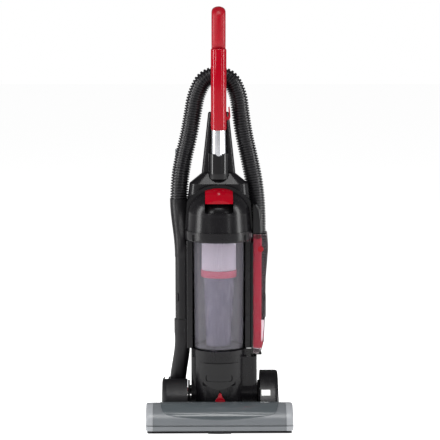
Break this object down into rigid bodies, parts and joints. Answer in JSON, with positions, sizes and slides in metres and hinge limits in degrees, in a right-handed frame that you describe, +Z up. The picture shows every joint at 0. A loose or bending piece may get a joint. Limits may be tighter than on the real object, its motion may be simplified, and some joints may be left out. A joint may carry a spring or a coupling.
{
  "type": "upright vacuum cleaner",
  "caption": "Upright bagless vacuum cleaner: wide floor head, reclining body with clear dust bin, side filter, looped hose, wand and loop handle.",
  "frame": {"origin": "on the floor, at the middle of the floor head's length and depth", "axes": "+Z up, front of the floor head faces -Y, +X to the right of someone who looks at its front"},
  "size_m": [0.39, 0.344, 1.1174],
  "materials": {
    "silver_grey_abs": "moulded, satin silver grey",
    "panel_grey_abs": "moulded, satin mid grey",
    "charcoal_abs": "moulded, semi-gloss charcoal",
    "black_pp": "moulded black, fine texture",
    "red_abs": "moulded, glossy red",
    "clear_bin_pc": "smoke tinted clear moulding",
    "clear_cover_pc": "lightly smoked clear moulding",
    "filter_pleat": "pleated filter paper",
    "filter_red": "red pleated cartridge",
    "ring_red": "red rubber",
    "foam": "open cell foam",
    "tyre_rubber": "soft black tyre",
    "seal_rubber": "black rubber",
    "steel": "plated steel",
    "sole_steel": "black coated steel",
    "polished_tube": "bright polished tube",
    "bearing_bronze": "sintered bronze",
    "motor_steel": "zinc plated motor can",
    "bristle_nylon": "nylon tufts",
    "hose_vinyl": "ribbed vinyl"
  },
  "bodies": {
    "floor_head": {"nozzle_hood": "silver_grey_abs", "end_caps": "silver_grey_abs", "top_panel": "panel_grey_abs", "sole_plate": "sole_steel", "belt": "seal_rubber", "head_bearings": "bearing_bronze", "chassis": "black_pp", "left_hood": "black_pp", "right_hood": "charcoal_abs", "suction_duct": "black_pp", "rear_axle": "steel", "pins_and_screws": "steel", "pedal_spring": "steel"},
    "brush_roll": {"brush_core": "black_pp", "brush_bristles": "bristle_nylon"},
    "left_wheel": {"wheel_left": "charcoal_abs", "tyre_left": "tyre_rubber"},
    "right_wheel": {"wheel_right": "charcoal_abs", "tyre_right": "tyre_rubber"},
    "left_roller": {"roller_left": "black_pp"},
    "right_roller": {"roller_right": "black_pp"},
    "pedal": {"recline_pedal": "red_abs"},
    "body": {"lower_housing": "charcoal_abs", "foam_filter": "foam", "motor_can": "motor_steel", "motor_bearings": "steel", "column": "charcoal_abs", "upper_housing": "charcoal_abs", "tower": "charcoal_abs", "tube_socket": "black_pp", "handle_tube": "polished_tube", "handle_stem": "red_abs", "handle_grip": "red_abs", "upper_cord_hook": "red_abs", "hose_rest": "black_pp", "filter_housing": "black_pp", "filter_cartridge": "filter_red", "wand": "black_pp", "hose_cuff": "black_pp", "lower_tube": "black_pp", "swivel_drum": "black_pp", "hose": "hose_vinyl", "hose_port": "black_pp", "crevice_tool": "panel_grey_abs"},
    "door": {"filter_door": "charcoal_abs"},
    "motor": {"motor_rotor": "motor_steel", "fan": "black_pp"},
    "switch": {"power_switch": "red_abs"},
    "cord_hook": {"lower_cord_hook": "black_pp"},
    "side_cover": {"filter_cover": "clear_cover_pc"},
    "knob": {"cover_knob": "red_abs"},
    "wand_lock": {"wand_button": "black_pp"},
    "dust_bin": {"bin_shell": "clear_bin_pc", "bin_seal": "seal_rubber", "lid_ring": "charcoal_abs", "lid": "charcoal_abs", "pleated_filter": "filter_pleat", "filter_ring": "ring_red", "cyclone_cone": "charcoal_abs"},
    "latch": {"latch_button": "red_abs"}
  },
  "joints": [
    {"name": "recline", "type": "hinge", "parent": "floor_head", "child": "body", "pos_m": [0, 0.036, 0.076], "axis": [-1, 0, 0], "range_deg": [0, 55]},
    {"name": "motor_spin", "type": "hinge", "parent": "body", "child": "motor", "pos_m": [0, 0.036, 0.076], "axis": [1, 0, 0], "continuous": true},
    {"name": "brush_spin", "type": "hinge", "parent": "floor_head", "child": "brush_roll", "pos_m": [0, -0.128, 0.026], "axis": [1, 0, 0], "continuous": true},
    {"name": "wheel_left_spin", "type": "hinge", "parent": "floor_head", "child": "left_wheel", "pos_m": [-0.127, 0.126, 0.046], "axis": [1, 0, 0], "continuous": true},
    {"name": "wheel_right_spin", "type": "hinge", "parent": "floor_head", "child": "right_wheel", "pos_m": [0.127, 0.126, 0.046], "axis": [1, 0, 0], "continuous": true},
    {"name": "roller_left_spin", "type": "hinge", "parent": "floor_head", "child": "left_roller", "pos_m": [-0.06, -0.088, 0.01], "axis": [1, 0, 0], "continuous": true},
    {"name": "roller_right_spin", "type": "hinge", "parent": "floor_head", "child": "right_roller", "pos_m": [0.06, -0.088, 0.01], "axis": [1, 0, 0], "continuous": true},
    {"name": "pedal_press", "type": "hinge", "parent": "floor_head", "child": "pedal", "pos_m": [-0.07, 0.14, 0.045], "axis": [-1, 0, 0], "range_deg": [0, 14], "stiffness_Nm_per_rad": 0.5, "springref_deg": -8.59},
    {"name": "bin_pull", "type": "slide", "parent": "body", "child": "dust_bin", "axis": [0, -1, 0], "range_m": [0, 0.12]},
    {"name": "latch_press", "type": "slide", "parent": "dust_bin", "child": "latch", "axis": [0, 0, -1], "range_m": [0, 0.004], "stiffness_N_per_m": 400, "springref_m": -0.003},
    {"name": "door_open", "type": "hinge", "parent": "body", "child": "door", "pos_m": [0, -0.0631, 0.096], "axis": [1, 0, 0], "range_deg": [0, 60]},
    {"name": "cover_pull", "type": "slide", "parent": "body", "child": "side_cover", "axis": [1, 0, 0], "range_m": [0, 0.06]},
    {"name": "knob_turn", "type": "hinge", "parent": "side_cover", "child": "knob", "pos_m": [0.112, -0.008, 0.47], "axis": [0, -1, 0], "range_deg": [0, 90]},
    {"name": "wand_lock_press", "type": "slide", "parent": "body", "child": "wand_lock", "axis": [0.7071, 0.7071, 0], "range_m": [0, 0.0015], "stiffness_N_per_m": 500, "springref_m": -0.001},
    {"name": "switch_rock", "type": "hinge", "parent": "body", "child": "switch", "pos_m": [0, 0.097, 0.745], "axis": [1, 0, 0], "range_deg": [-6, 6]},
    {"name": "cord_hook_turn", "type": "hinge", "parent": "body", "child": "cord_hook", "pos_m": [0, 0.0974, 0.33], "axis": [0, 1, 0], "range_deg": [0, 180]}
  ],
  "couplings": [
    {"joint": "brush_spin", "follows": "motor_spin", "ratio": 0.8148}
  ]
}
